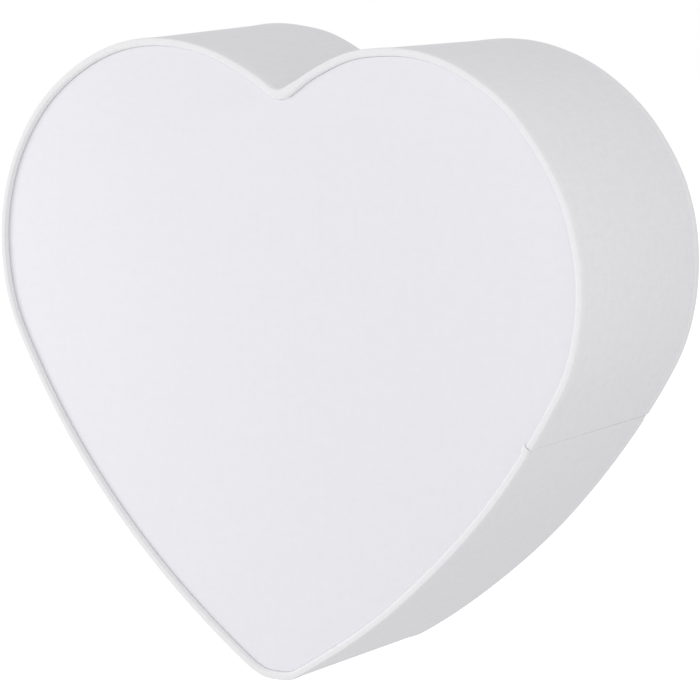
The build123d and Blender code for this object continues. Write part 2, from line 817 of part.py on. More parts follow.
def all_pieces():
    """Every node of the light, by name."""
    front_roll_rod = heart_rod(roll_inset, front_ring_depth, roll_radius)
    back_roll_rod = heart_rod(roll_inset, back_ring_depth, roll_radius)
    front_ring_wire = heart_rod(roll_inset, front_ring_depth, wire_radius)
    back_ring_wire = heart_rod(roll_inset, back_ring_depth, wire_radius)
    pieces = {
        "shade_band": shade_band([front_roll_rod, back_roll_rod]),
        "front_ring_wire": front_ring_wire,
        "back_ring_wire": back_ring_wire,
        "front_roll": front_roll_rod - heart_rod(roll_inset, front_ring_depth, wire_radius + wire_fit),
        "panel_clips": panel_clips(),
        "face_panel": face_panel(),
        "panel_magnets": panel_magnets(),
        "wall_bar": wall_bar(),
        "wall_plate": wall_plate(),
        "side_screws": side_screws(),
        "cable_bush": cable_bush(),
        "terminal_block": terminal_block(),
        "terminal_inserts": terminal_inserts(),
        "terminal_screws": terminal_screws(),
        "earth_screw": earth_screw(),
        "earth_nut": earth_nut(),
        "earth_tag": earth_tag(),
        "earth_lead": earth_lead(),
        "holder_bracket": holder_bracket(),
        "bracket_rivets": bracket_rivets(),
        "holder_nuts": holder_nuts(),
    }
    back_roll = back_roll_rod - heart_rod(roll_inset, back_ring_depth, wire_radius + wire_fit)
    for direction, level in ((1, "upper"), (-1, "lower")):
        tab = hanger_tab(direction)
        pieces[level + "_hanger_tab"] = tab
        pieces[level + "_rail"] = rail(direction * rail_height, back_ring_wire, tab)
        rail_points = rail_path(direction * rail_height)
        back_roll -= wire_sweep(rail_points, rail_radius + rail_notch_gap, rail_bend_radius)
        pieces[level + "_stud"] = stud(direction)
        pieces["thumb_nut_" + level] = thumb_nut(direction)
        pieces["nut_washer_" + level] = nut_washer(direction)
    pieces["back_roll"] = back_roll
    for side, hand in ((-1, "left"), (1, "right")):
        pieces["holder_nipple_" + hand] = holder_nipple(side)
        pieces["lampholder_cap_" + hand] = lampholder_cap(side)
        pieces["lampholder_core_" + hand] = lampholder_core(side)
        pieces["lampholder_skirt_" + hand] = lampholder_skirt(side)
        pieces["lampholder_contacts_" + hand] = lampholder_contacts(side)
        pieces["live_lead_" + hand] = lampholder_lead(side, terminal_heights[2], lead_lane)
        pieces["neutral_lead_" + hand] = lampholder_lead(side, terminal_heights[1], -lead_lane)
        pieces["bulb_tip_" + hand] = bulb_tip(side)
        pieces["bulb_cap_" + hand] = bulb_cap(side)
        pieces["bulb_housing_" + hand] = bulb_housing(side)
        pieces["bulb_globe_" + hand] = bulb_globe(side)
    return pieces


os.makedirs("parts", exist_ok=True)
for name, shape in all_pieces().items():
    export_step(shape, "parts/" + name + ".step")
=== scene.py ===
import json
import math

import bmesh
import bpy
from mathutils import Matrix, Vector

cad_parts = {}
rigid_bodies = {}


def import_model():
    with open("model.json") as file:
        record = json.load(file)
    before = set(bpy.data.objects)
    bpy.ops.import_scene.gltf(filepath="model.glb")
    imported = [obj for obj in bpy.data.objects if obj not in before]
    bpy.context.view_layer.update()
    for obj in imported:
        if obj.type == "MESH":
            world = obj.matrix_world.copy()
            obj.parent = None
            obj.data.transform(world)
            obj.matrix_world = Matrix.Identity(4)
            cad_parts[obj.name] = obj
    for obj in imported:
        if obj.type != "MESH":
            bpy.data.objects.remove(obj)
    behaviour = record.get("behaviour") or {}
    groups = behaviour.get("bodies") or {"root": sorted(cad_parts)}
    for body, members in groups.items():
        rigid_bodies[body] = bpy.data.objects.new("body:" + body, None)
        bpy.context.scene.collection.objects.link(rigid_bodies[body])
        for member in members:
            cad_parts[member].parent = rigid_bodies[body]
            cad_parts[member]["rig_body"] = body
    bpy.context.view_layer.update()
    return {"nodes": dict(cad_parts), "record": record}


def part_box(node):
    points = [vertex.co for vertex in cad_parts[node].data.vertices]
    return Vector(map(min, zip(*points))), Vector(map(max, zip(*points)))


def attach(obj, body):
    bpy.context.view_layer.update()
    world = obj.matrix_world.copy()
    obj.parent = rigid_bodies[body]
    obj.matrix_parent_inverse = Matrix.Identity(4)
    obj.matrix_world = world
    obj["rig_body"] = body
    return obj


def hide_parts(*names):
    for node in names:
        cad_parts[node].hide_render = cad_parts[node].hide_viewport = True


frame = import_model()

nodes = frame["nodes"]
mm = 0.001
near = 0.01 * mm      # places closer together than this count as one
closing = 0.05 * mm   # ends of a closed outline are merged within this


# selecting, finishing and dressing a piece

def clearSelection():
    if bpy.context.object and bpy.context.object.mode != "OBJECT":
        bpy.ops.object.mode_set(mode="OBJECT")
    bpy.ops.object.select_all(action="DESELECT")


def editAll(select="SELECT"):
    bpy.ops.object.mode_set(mode="EDIT")
    bpy.ops.mesh.select_mode(type="VERT")
    bpy.ops.mesh.select_all(action=select)


def settle(name):
    # leaves the new piece at the origin with its place in its mesh
    bpy.ops.object.mode_set(mode="OBJECT")
    piece = bpy.context.object
    bpy.ops.object.transform_apply(location=True, rotation=True, scale=True)
    piece.name = name
    piece.data.name = name
    return piece


def smooth(piece, angle):
    # edges sharper than the angle, in degrees, stay crisp
    clearSelection()
    piece.select_set(True)
    bpy.context.view_layer.objects.active = piece
    bpy.ops.object.shade_smooth_by_angle(angle=math.radians(angle))


def dress(piece, names, body, slot, *replaced):
    piece.data.materials.clear()
    for name in names.split():
        piece.data.materials.append(materials[name])
    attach(piece, body)
    if replaced:
        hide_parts(*replaced)


def addNode(tree, kind, settings=None, links=None):
    node = tree.nodes.new(kind)
    for key, value in (settings or {}).items():
        if isinstance(key, str) and hasattr(node, key):
            setattr(node, key, value)
        else:
            node.inputs[key].default_value = value
    for key, source in (links or {}).items():
        tree.links.new(source, node.inputs[key])
    return node


# camera, lamps and floor

view = {
    "target": Vector((7.69, -63.0, -53.3)) * mm,
    "distance": 1.7816,   # metres
    "azimuth": 35.2,      # degrees
    "elevation": 9.6,
    "roll": 0.04,
    "lens": 168.13,       # millimetres, for the sensor below
    "sensor": 36,
    "farthest": 50,       # metres
}


def makeCamera():
    azimuth = math.radians(view["azimuth"])
    elevation = math.radians(view["elevation"])
    away = Vector((
        math.sin(azimuth) * math.cos(elevation),
        -math.cos(azimuth) * math.cos(elevation),
        math.sin(elevation),
    ))
    bpy.ops.object.camera_add(location=view["target"] + away * view["distance"])
    camera = bpy.context.object
    camera.name = "camera"
    aim = (-away).to_track_quat("-Z", "Y").to_matrix()
    roll = Matrix.Rotation(math.radians(view["roll"]), 3, "Z")
    camera.rotation_euler = (aim @ roll).to_euler()
    camera.data.lens = view["lens"]
    camera.data.sensor_width = view["sensor"]
    camera.data.clip_end = view["farthest"]
    bpy.context.scene.camera = camera


# white disc lamps: places and sizes in metres, power in watts
lamps = {
    "leftSoftbox": {"place": (-1.299, -0.814, -0.05), "size": 0.68, "power": 8.3},
    "upperSoftbox": {"place": (0.402, -0.544, 0.263), "size": 0.32, "power": 0.33},
    "rightSoftbox": {"place": (0.658, -0.303, -0.05), "size": 0.32, "power": 0.36},
}
lampAim = Vector((0, -0.064, -0.05))


def makeLamps():
    for name, lamp in lamps.items():
        bpy.ops.object.light_add(type="AREA", location=lamp["place"])
        light = bpy.context.object
        light.name = name
        light.data.shape = "DISK"
        light.data.size = lamp["size"]
        light.data.energy = lamp["power"]
        toObject = lampAim - Vector(lamp["place"])
        light.rotation_euler = toObject.to_track_quat("-Z", "Y").to_euler()


def backdropRays(tree):
    # one for rays that show the backdrop: straight to the lens, off metal or through glass
    path = addNode(tree, "ShaderNodeLightPath")
    shown = path.outputs["Is Camera Ray"]
    for ray in ("Is Glossy Ray", "Is Transmission Ray"):
        either = addNode(tree, "ShaderNodeMath", {"operation": "MAXIMUM"}, {0: shown, 1: path.outputs[ray]})
        shown = either.outputs[0]
    return shown


studio = {"strength": 0.709, "colour": (0.99, 0.99, 1.0), "backdrop": (1, 1, 1)}


def makeWorld():
    world = bpy.data.worlds.new("studio")
    bpy.context.scene.world = world
    world.use_nodes = True
    tree = world.node_tree
    tree.nodes.clear()
    settings = {"Color": (*studio["colour"], 1), "Strength": studio["strength"]}
    lighting = addNode(tree, "ShaderNodeBackground", settings)
    backdrop = addNode(tree, "ShaderNodeBackground", {"Color": (*studio["backdrop"], 1), "Strength": 1.0})
    shares = {0: backdropRays(tree), 1: lighting.outputs[0], 2: backdrop.outputs[0]}
    mix = addNode(tree, "ShaderNodeMixShader", {}, shares)
    addNode(tree, "ShaderNodeOutputWorld", {}, {"Surface": mix.outputs[0]})


# pale paper below the light, brightened only where it is seen; sizes in metres
floorPaper = {"height": -0.9, "half": 7.0, "grey": 0.88, "glow": 0.62}


def makeFloor():
    clearSelection()
    place = (0, 0, floorPaper["height"])
    bpy.ops.mesh.primitive_plane_add(size=2 * floorPaper["half"], location=place)
    floor = settle("floor")
    material = bpy.data.materials.new("floorPaper")
    material.use_nodes = True
    tree = material.node_tree
    tree.nodes.clear()
    grey = floorPaper["grey"]
    paper = addNode(tree, "ShaderNodeBsdfDiffuse", {"Color": (grey, grey, grey, 1)})
    glow = addNode(tree, "ShaderNodeEmission", {"Color": (1, 1, 1, 1), "Strength": floorPaper["glow"]})
    both = addNode(tree, "ShaderNodeAddShader", {}, {0: paper.outputs[0], 1: glow.outputs[0]})
    shares = {0: backdropRays(tree), 1: paper.outputs[0], 2: both.outputs[0]}
    mix = addNode(tree, "ShaderNodeMixShader", {}, shares)
    addNode(tree, "ShaderNodeOutputMaterial", {}, {"Surface": mix.outputs[0]})
    floor.data.materials.append(material)


scene = bpy.context.scene
scene.view_settings.view_transform = "Standard"
makeCamera()
makeLamps()
makeWorld()
makeFloor()
print("camera, lamps and stage are in place")


# materials, each named for what the real one is

def hexLinear(text):
    # an sRGB hex value as linear red, green and blue, with full alpha
    parts = [int(text[i:i + 2], 16) / 255 for i in (0, 2, 4)]
    return [c / 12.92 if c <= 0.04045 else ((c + 0.055) / 1.055) ** 2.4 for c in parts] + [1.0]


def newMaterial(name, colour, sockets):
    material = bpy.data.materials.new(name)
    material.use_nodes = True
    tree = material.node_tree
    shader = tree.nodes["Principled BSDF"]
    shader.inputs["Base Color"].default_value = hexLinear(colour)
    for key, value in sockets.items():
        shader.inputs[key].default_value = value
    return material, tree, shader


def waveScale(period):
    return math.pi / (10 * period)  # a wave texture of this scale repeats once in that many metres


weave = {
    "spacing": 1.05 * mm,        # real threads are 0.5 mm apart, and are drawn at twice that to show
    "depth": 0.026 * mm,
    "strength": 0.6,
    "sway": 0.9 * mm,            # threads wander from straight by up to this much
    "swayLength": 100 / 9 * mm,
    "swayDetail": 2.0,
    "slub": 1.1,                 # share of the thicker lengths of thread in the relief
    "slubWidth": 1.6 * mm,
    "slubStretch": 12.0,
    "slubDetail": 3.0,
    "cloud": 4.5 * mm,           # faint uneven tone of the cloth
    "cloudDetail": 3.0,
    "cloudRoughness": 0.65,
    "cloudShare": 1.8,
    "darkest": 1.4,
    "palest": 2.4,
    "roughness": 0.85,
    "sheen": 0.12,
    "sheenSpread": 0.5,
    "ior": 1.45,
}


def weaveHeight(tree, source, slubs):
    # crossed waves for the threads, swayed a little, with the slubs over them
    settings = {"Scale": 1 / weave["swayLength"], "Detail": weave["swayDetail"]}
    wobble = addNode(tree, "ShaderNodeTexNoise", settings, {"Vector": source})
    settings = {"operation": "MULTIPLY", 1: (weave["sway"], weave["sway"], 0)}
    sway = addNode(tree, "ShaderNodeVectorMath", settings, {0: wobble.outputs["Color"]})
    bent = addNode(tree, "ShaderNodeVectorMath", {"operation": "ADD"}, {0: source, 1: sway.outputs[0]})
    rows = []
    for direction in ("X", "Y"):
        settings = {"bands_direction": direction, "Scale": waveScale(weave["spacing"])}
        row = addNode(tree, "ShaderNodeTexWave", settings, {"Vector": bent.outputs[0]})
        rows.append(row.outputs["Fac"])
    cross = addNode(tree, "ShaderNodeMath", {"operation": "MULTIPLY"}, {0: rows[0], 1: rows[1]})
    settings = {"operation": "MULTIPLY_ADD", 1: weave["slub"]}
    height = addNode(tree, "ShaderNodeMath", settings, {0: slubs, 2: cross.outputs[0]})
    return height.outputs[0]


def weaveSlubs(tree, source):
    # noise drawn out along each of the two thread directions
    runs = []
    for stretch in ((1.0, weave["slubStretch"], 1.0), (weave["slubStretch"], 1.0, 1.0)):
        settings = {"vector_type": "TEXTURE", "Scale": stretch}
        lie = addNode(tree, "ShaderNodeMapping", settings, {"Vector": source})
        settings = {"Scale": 1 / weave["slubWidth"], "Detail": weave["slubDetail"]}
        run = addNode(tree, "ShaderNodeTexNoise", settings, {"Vector": lie.outputs[0]})
        runs.append(run.outputs["Fac"])
    both = addNode(tree, "ShaderNodeMath", {"operation": "ADD"}, {0: runs[0], 1: runs[1]})
    return both.outputs[0]


def weaveMaterial(name, colour, shade, coordinate, depth):
    # plain-weave polyester-cotton laminate: matt, faintly uneven threads, no gloss
    material, tree, shader = newMaterial(name, colour, {
        "Roughness": weave["roughness"],
        "IOR": weave["ior"],
        "Sheen Weight": weave["sheen"],
        "Sheen Roughness": weave["sheenSpread"],
    })
    place = addNode(tree, "ShaderNodeTexCoord")
    source = place.outputs[coordinate]
    if coordinate == "Object":
        # lays the pattern on the front face, whose plane is X and Z
        upright = {"Rotation": (math.radians(-90), 0, 0)}
        turn = addNode(tree, "ShaderNodeMapping", upright, {"Vector": source})
        source = turn.outputs[0]
    slubs = weaveSlubs(tree, source)
    relief = {"Strength": weave["strength"] * depth, "Distance": weave["depth"]}
    bump = addNode(tree, "ShaderNodeBump", relief, {"Height": weaveHeight(tree, source, slubs)})
    tree.links.new(bump.outputs[0], shader.inputs["Normal"])
    cloud = addNode(tree, "ShaderNodeTexNoise", {
        "Scale": 1 / weave["cloud"],
        "Detail": weave["cloudDetail"],
        "Roughness": weave["cloudRoughness"],
    }, {"Vector": source})
    settings = {"operation": "MULTIPLY_ADD", 1: weave["cloudShare"]}
    mottle = addNode(tree, "ShaderNodeMath", settings, {0: cloud.outputs["Fac"], 2: slubs})
    limits = {"From Min": weave["darkest"], "From Max": weave["palest"]}
    tone = addNode(tree, "ShaderNodeMapRange", limits, {"Value": mottle.outputs[0]})
    colours = {"data_type": "RGBA", 6: hexLinear(shade), 7: hexLinear(colour)}
    tint = addNode(tree, "ShaderNodeMix", colours, {0: tone.outputs[0]})
    tree.links.new(tint.outputs[2], shader.inputs["Base Color"])
    return material


speckle = {"detail": 4.0, "roughness": 0.6, "strength": 0.5}


def speckledMaterial(name, colour, shade, grain, relief, roughness, metallic):
    # even finish with a fine grain in colour and relief
    material, tree, shader = newMaterial(name, colour, {"Roughness": roughness, "Metallic": metallic})
    place = addNode(tree, "ShaderNodeTexCoord")
    settings = {"Scale": 1 / grain, "Detail": speckle["detail"], "Roughness": speckle["roughness"]}
    noise = addNode(tree, "ShaderNodeTexNoise", settings, {"Vector": place.outputs["Object"]})
    colours = {"data_type": "RGBA", 6: hexLinear(shade), 7: hexLinear(colour)}
    tint = addNode(tree, "ShaderNodeMix", colours, {0: noise.outputs["Fac"]})
    settings = {"Strength": speckle["strength"], "Distance": relief}
    bump = addNode(tree, "ShaderNodeBump", settings, {"Height": noise.outputs["Fac"]})
    tree.links.new(tint.outputs[2], shader.inputs["Base Color"])
    tree.links.new(bump.outputs[0], shader.inputs["Normal"])
    return material


def stripedMaterial(name, colour, stripe, spacing, blend, roughness):
    # two colours side by side; one turns into the other over that share of the wave's height
    material, tree, shader = newMaterial(name, colour, {"Roughness": roughness})
    place = addNode(tree, "ShaderNodeTexCoord")
    settings = {"bands_direction": "X", "Scale": waveScale(spacing)}
    wave = addNode(tree, "ShaderNodeTexWave", settings, {"Vector": place.outputs["Object"]})
    limits = {"From Min": 0.5 - blend / 2, "From Max": 0.5 + blend / 2}
    edge = addNode(tree, "ShaderNodeMapRange", limits, {"Value": wave.outputs["Fac"]})
    colours = {"data_type": "RGBA", 6: hexLinear(colour), 7: hexLinear(stripe)}
    tint = addNode(tree, "ShaderNodeMix", colours, {0: edge.outputs[0]})
    tree.links.new(tint.outputs[2], shader.inputs["Base Color"])
    return material


materials = {
    # the roll's cloth is drawn tight over its wire, so its threads stand up less
    "bandCloth": weaveMaterial("laminatedShadeCloth", "F1F0F2", "ECEBED", "UV", 1.0),
    "rollCloth": weaveMaterial("rolledHemCloth", "F2F2F3", "EEEEEF", "UV", 0.7),
    "panelCloth": weaveMaterial("panelShadeCloth", "F0EFF4", "EEEDF2", "Object", 1.0),
    # glossy vinyl of the earth lead: green with a yellow stripe
    "earth_insulation": stripedMaterial("greenYellowVinyl", "4E8F35", "DDCB3A", 2.0 * mm, 0.1, 0.4),
}

# for each slot: the finish, its colour and the darker colour of its grain,
# the size of the grain and the depth of its relief in millimetres, roughness and metallic
finishes = {
    # rigid styrene backing of the shade cloth: smooth matt white, as seen from behind
    "styreneLining": ("styreneLining", "EDEDEB", "E8E8E6", 6.0, 0.01, 0.5, 0.0),
    # electro-galvanised steel wire: bright grey with a soft crystalline mottle
    "ring_steel": ("galvanisedWire", "B9BABC", "9C9EA1", 2.5, 0.02, 0.38, 1.0),
    # epoxy powder coat: satin white with a faint orange peel
    "white_wire": ("powderCoatWire", "EDEDEA", "E6E6E2", 1.4, 0.03, 0.42, 0.0),
    "white_sheet": ("powderCoatSheet", "EFEFEC", "E8E8E4", 1.6, 0.03, 0.4, 0.0),
    # bright zinc on pressed steel: cold grey metal, lightly clouded
    "zinc_sheet": ("brightZincPlate", "C3C6CA", "A5A8AD", 3.0, 0.015, 0.3, 1.0),
    # bright nickel on turned nuts: warm and nearly a mirror
    "nickel_nut": ("brightNickelPlate", "CFCBC4", "C2BDB5", 2.0, 0.01, 0.18, 1.0),
    # barrel-plated nickel on the magnets: grey metal with a soft shine
    "magnet_nickel": ("magnetNickelPlate", "BFBFC0", "B2B2B4", 2.0, 0.01, 0.25, 1.0),
    # turned brass: yellow metal, a little dulled
    "brass_part": ("turnedBrass", "D2B06A", "BE9A52", 2.2, 0.01, 0.28, 1.0),
    # zinc-plated screws: pale and rather dull
    "terminal_screw_steel": ("zincScrewSteel", "B4B6B9", "94979B", 1.0, 0.01, 0.35, 1.0),
    # moulded polyamide without pigment: milky cream with a satin face
    "terminal_plastic": ("naturalPolyamide", "E6E3DA", "DEDACF", 1.0, 0.02, 0.5, 0.0),
    # soft moulded vinyl: matt pale grey
    "bush_rubber": ("greyVinylBush", "D0D0CE", "C6C6C4", 0.8, 0.02, 0.6, 0.0),
    # moulded thermoset: hard and glossy white
    "holder_plastic": ("mouldedThermoset", "F0F0EC", "EBEBE6", 1.2, 0.01, 0.28, 0.0),
    # pressed steatite without glaze: chalky cream
    "core_ceramic": ("unglazedSteatite", "E9E6DD", "DDD9CE", 0.7, 0.03, 0.75, 0.0),
    # extruded silicone rubber: even colour, hardly any shine
    "live_insulation": ("brownSilicone", "6E4326", "633A20", 0.8, 0.02, 0.5, 0.0),
    "neutral_insulation": ("blueSilicone", "2F6DB5", "2862A6", 0.8, 0.02, 0.5, 0.0),
    # tinned contact set in dark glass: grey metal in a darker ring
    "bulb_contact": ("tinnedContact", "8E8C86", "3A3A3C", 1.5, 0.02, 0.4, 0.6),
    # nickelled lamp cap: bright, smooth grey metal
    "bulb_cap_metal": ("nickelledCap", "CFCFCD", "BDBDBC", 1.5, 0.01, 0.24, 1.0),
    # moulded polycarbonate: glossy white below, milky and satin on the globe
    "bulb_body_plastic": ("glossPolycarbonate", "F3F3F1", "EEEEEC", 1.5, 0.008, 0.3, 0.0),
    "bulb_opal": ("opalPolycarbonate", "F6F6F2", "F2F2EE", 2.0, 0.008, 0.45, 0.0),
}
for slot, (name, colour, shade, grain, relief, roughness, metallic) in finishes.items():
    materials[slot] = speckledMaterial(name, colour, shade, grain * mm, relief * mm, roughness, metallic)

slotOf = {entry["node"]: entry["material_slot"] for entry in frame["record"]["subparts"]}
for name, node in nodes.items():
    if slotOf[name] in materials:
        node.data.materials.clear()
        node.data.materials.append(materials[slotOf[name]])
print("materials are on the carried-over nodes")


# the heart outline, as tangent arcs about the same centres as the solids

heart = {
    "lobeRadius": 116.5 * mm,
    "flankRadius": 460.0 * mm,
    "tipRadius": 32.0 * mm,
    "notchRadius": 8.0 * mm,   # the bent wire is rounder here than the solids
    "seam": -32.77,            # bearing of the seam on the right flank, in degrees
    "stride": 2.5 * mm,
    "sharpest": 3,             # an arc turns by no more than this in a step, in degrees
}
bandLow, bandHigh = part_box("shade_band")
frontLow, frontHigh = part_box("front_roll")
backLow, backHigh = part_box("back_roll")
frontRing = (frontLow.y + frontHigh.y) / 2
backRing = (backLow.y + backHigh.y) / 2
halfWidth = (bandHigh.x - bandLow.x) / 2
lobe = Vector((halfWidth - heart["lobeRadius"], 0, 0))
notch = Vector((0, 0, math.sqrt((heart["lobeRadius"] + heart["notchRadius"]) ** 2 - lobe.x ** 2)))
tip = Vector((0, 0, bandLow.z + heart["tipRadius"]))


def flankCentre():
    # the flank's circle goes round the circles of the lobe and the tip, and touches both
    toLobe = heart["flankRadius"] - heart["lobeRadius"]
    toTip = heart["flankRadius"] - heart["tipRadius"]
    line = tip - lobe
    along = (toLobe ** 2 - toTip ** 2 + line.length_squared) / (2 * line.length)
    across = math.sqrt(toLobe ** 2 - along ** 2)
    unit = line.normalized()
    return lobe + along * unit + across * Vector((unit.z, 0, -unit.x))


def bearing(start, end):
    step = end - start
    return math.degrees(math.atan2(step.z, step.x))


flank = flankCentre()
lobeTop = bearing(lobe, notch)
lobeFoot = bearing(flank, lobe)
flankFoot = bearing(flank, tip)
notchTurn = bearing(notch, lobe) + 90


def mirrored(point):
    return Vector((-point.x, point.y, point.z))


def flankTurn(length):
    # degrees that a length takes up on the flank arc
    return math.degrees(length / heart["flankRadius"])


def heartArcs(above, starts=(), ends=()):
    # centre, radius, start bearing, turn and stride of every arc, down the right flank first and back to
    # the seam; above is how far over the seam the outline starts, and starts and ends are lengths of short
    # arcs with a stride of their own
    flankRadius = heart["flankRadius"]
    lobeRadius = heart["lobeRadius"]
    arcs = []
    place = heart["seam"] + flankTurn(above)
    for length, stride in starts:
        arcs.append((flank, flankRadius, place, -flankTurn(length), stride))
        place -= flankTurn(length)
    stride = heart["stride"]
    arcs += [
        (flank, flankRadius, place, flankFoot - place, stride),
        (tip, heart["tipRadius"], flankFoot, -180 - 2 * flankFoot, stride),
        (mirrored(flank), flankRadius, -180 - flankFoot, flankFoot - lobeFoot, stride),
        (mirrored(lobe), lobeRadius, -180 - lobeFoot, lobeFoot - lobeTop, stride),
        (notch, heart["notchRadius"], -90 - notchTurn, 2 * notchTurn, stride),
        (lobe, lobeRadius, lobeTop, lobeFoot - lobeTop, stride),
    ]
    last = heart["seam"] + flankTurn(sum(length for length, stride in ends))
    arcs.append((flank, flankRadius, lobeFoot, last - lobeFoot, stride))
    for length, stride in ends:
        arcs.append((flank, flankRadius, last, -flankTurn(length), stride))
        last -= flankTurn(length)
    return arcs


def spinAlong(arcs):
    # carries the selected outline round every arc in turn, and returns how far each ring lies from the first
    # and which way is outwards there
    runs = []
    outward = []
    for centre, radius, start, turn, stride in arcs:
        length = abs(math.radians(turn)) * radius
        steps = max(2, round(length / stride), round(abs(turn) / heart["sharpest"]))
        bpy.ops.mesh.spin(steps=steps, angle=math.radians(turn), center=centre, axis=(0, 1, 0))
        first = runs[-1] if runs else 0.0
        side = -1 if centre == notch else 1
        for k in range(1 if runs else 0, steps + 1):
            angle = math.radians(start + turn * k / steps)
            runs.append(first + length * k / steps)
            outward.append(Vector((math.cos(angle), 0, math.sin(angle))) * side)
    return runs, outward


def flatProfile(width, depth):
    # a rectangle with its width along X and its depth along Y
    bpy.ops.mesh.primitive_plane_add(size=1)
    piece = bpy.context.object
    piece.scale = (width, depth, 1)
    bpy.ops.object.transform_apply(location=False, rotation=False, scale=True)
    return piece


def startProfile(above, inset, depth):
    # stands the profile, drawn with X outwards and Y to the wall, across the outline over the seam
    angle = heart["seam"] + flankTurn(above)
    radius = heart["flankRadius"] - inset
    turn = math.radians(angle)
    piece = bpy.context.object
    piece.rotation_euler = (0, -turn, 0)
    piece.location = (flank.x + radius * math.cos(turn), depth, flank.z + radius * math.sin(turn))
    bpy.ops.object.transform_apply(location=True, rotation=True, scale=True)


def closeEnds():
    editAll()
    bpy.ops.mesh.fill_holes(sides=0)
    bpy.ops.mesh.select_all(action="SELECT")
    bpy.ops.mesh.normals_make_consistent(inside=False)


def clothMap(piece, runs, across, around=0.0):
    # cloth coordinates in metres: along the outline, and across it; vertices lie ring by ring
    # around is the girth of a hem, whose coordinate wraps
    for old in list(piece.data.uv_layers):
        piece.data.uv_layers.remove(old)
    layer = piece.data.uv_layers.new(name="cloth")
    for face in piece.data.polygons:
        places = [divmod(piece.data.loops[k].vertex_index, len(across)) for k in face.loop_indices]
        sides = [across[place] for ring, place in places]
        wraps = max(sides) - min(sides) > around / 2
        for k, (ring, place) in zip(face.loop_indices, places):
            shift = around if around and wraps and across[place] < around / 2 else 0
            layer.data[k].uv = (runs[ring], across[place] + shift)


def ease(value):
    # a smooth step from 0 to 1
    value = min(1.0, max(0.0, value))
    return value * value * (3 - 2 * value)


# hand-bent rings: side of the heart, bearing on it and spread in degrees,
# and how far the front and the back ring stand outside the drawn arcs there, in millimetres
bends = (
    (1, 118, 20, -1.8, -0.7),
    (1, 98, 20, 0.7, -1.2),
    (1, 78, 20, 1.8, -0.9),
    (1, 58, 20, 1.1, -0.7),
    (1, 38, 20, -0.4, -0.2),
    (1, 18, 20, 0.2, 0.6),
    (1, -2, 20, 0.7, 0.0),
    (1, -22, 20, 1.4, 0.3),
    (1, -38, 10, 1.2, -0.2),
    (1, -50, 8, 0.5, -0.4),
    (1, -56, 10, -0.6, 0.0),
    (1, -64, 12, -0.3, 0.0),
    (1, -90, 34, -1.3, 0.0),
    (-1, 118, 20, 0.1, -2.1),
    (-1, 98, 20, -0.2, 0.1),
    (-1, 78, 20, 0.0, 1.8),
    (-1, 58, 20, -0.5, 0.2),
    (-1, 38, 30, -0.3, 0.2),
    (-1, 14, 24, 0.2, 0.0),
    (-1, -6, 20, 0.4, 0.0),
    (-1, -22, 20, 0.9, 0.0),
    (-1, -38, 12, 0.8, 0.0),
    (-1, -54, 8, -0.5, -0.2),
    (-1, -64, 12, -0.6, 0.0),
    (-1, -90, 34, -1.2, 0.0),
)
notchFade = 14.0 * mm  # the bends die out this near the middle
# the front ring's notch stands off the middle, and its hem bunches up inwards
notchSwing = {"reach": 28.0 * mm, "right": 2.8 * mm, "up": 0.35 * mm}
notchBunch = {"reach": 22.0 * mm, "right": 0.9 * mm, "down": 1.25 * mm, "full": 4.2 * mm}


def bearingOnHeart(point):
    # about the centre of the arc that the point belongs to, on the right half
    around = bearing(lobe, point)
    if around < lobeFoot:
        around = bearing(flank, point)
    if around < flankFoot:
        around = bearing(tip, point)
    return around


def bendAt(side, around, share):
    # how far the ring stands out there; share is 0 at the back ring and 1 at the front
    out = 0.0
    for bendSide, place, spread, front, back in bends:
        away = abs(around - place) / spread
        if bendSide == side and away < 1:
            out += (back + (front - back) * share) * mm * math.cos(away * math.pi / 2) ** 2
    return out


def handBend(piece):
    for vertex in piece.data.vertices:
        side = 1 if vertex.co.x >= 0 else -1
        point = Vector((abs(vertex.co.x), 0, vertex.co.z))
        around = bearingOnHeart(point)
        share = (vertex.co.y - backRing) / (frontRing - backRing)
        out = bendAt(side, around, share)
        swing = bunch = 0.0
        if around > 90:
            out *= ease(point.x / notchFade)
            fromNotch = (point - notch).length - heart["notchRadius"]
            inset = fromNotch if around > lobeTop else heart["lobeRadius"] - (point - lobe).length
            swing = ease(1 - point.x / notchSwing["reach"]) * share
            bunch = ease(1 - point.x / notchBunch["reach"]) * ease(inset / notchBunch["full"]) * share
        turn = math.radians(around)
        vertex.co.x += side * out * math.cos(turn) + swing * notchSwing["right"] + bunch * notchBunch["right"]
        vertex.co.z += out * math.sin(turn) + swing * notchSwing["up"] - bunch * notchBunch["down"]


print("heart outline", round(halfWidth, 4), [round(c, 4) for c in flank])


# the shade: the band with its skived lap, and the two rolled hems over their wires

band = {
    "thickness": 0.95 * mm,
    "sunk": 0.15 * mm,         # the face lies this far inside the drawn outline
    "rows": 16,
    "lap": 12.0 * mm,
    "shoulder": 0.02 * mm,     # length of the step down to the hidden end
    "skive": 0.55 * mm,        # taken off the face of the hidden end, so that the flap lies flush
    "flap": 0.5 * mm,          # thickness of the flap over it
    "blend": 3.0 * mm,
    "tilt": 0.9 * mm,          # the cut edge drifts this far between its front and back ends
    "grooveFront": 0.16 * mm,  # the flap stops this far short of the shoulder
    "grooveBack": 0.5 * mm,
    "lapStride": 2 * mm,
    "edgeStride": mm,
    "crease": 35,
}


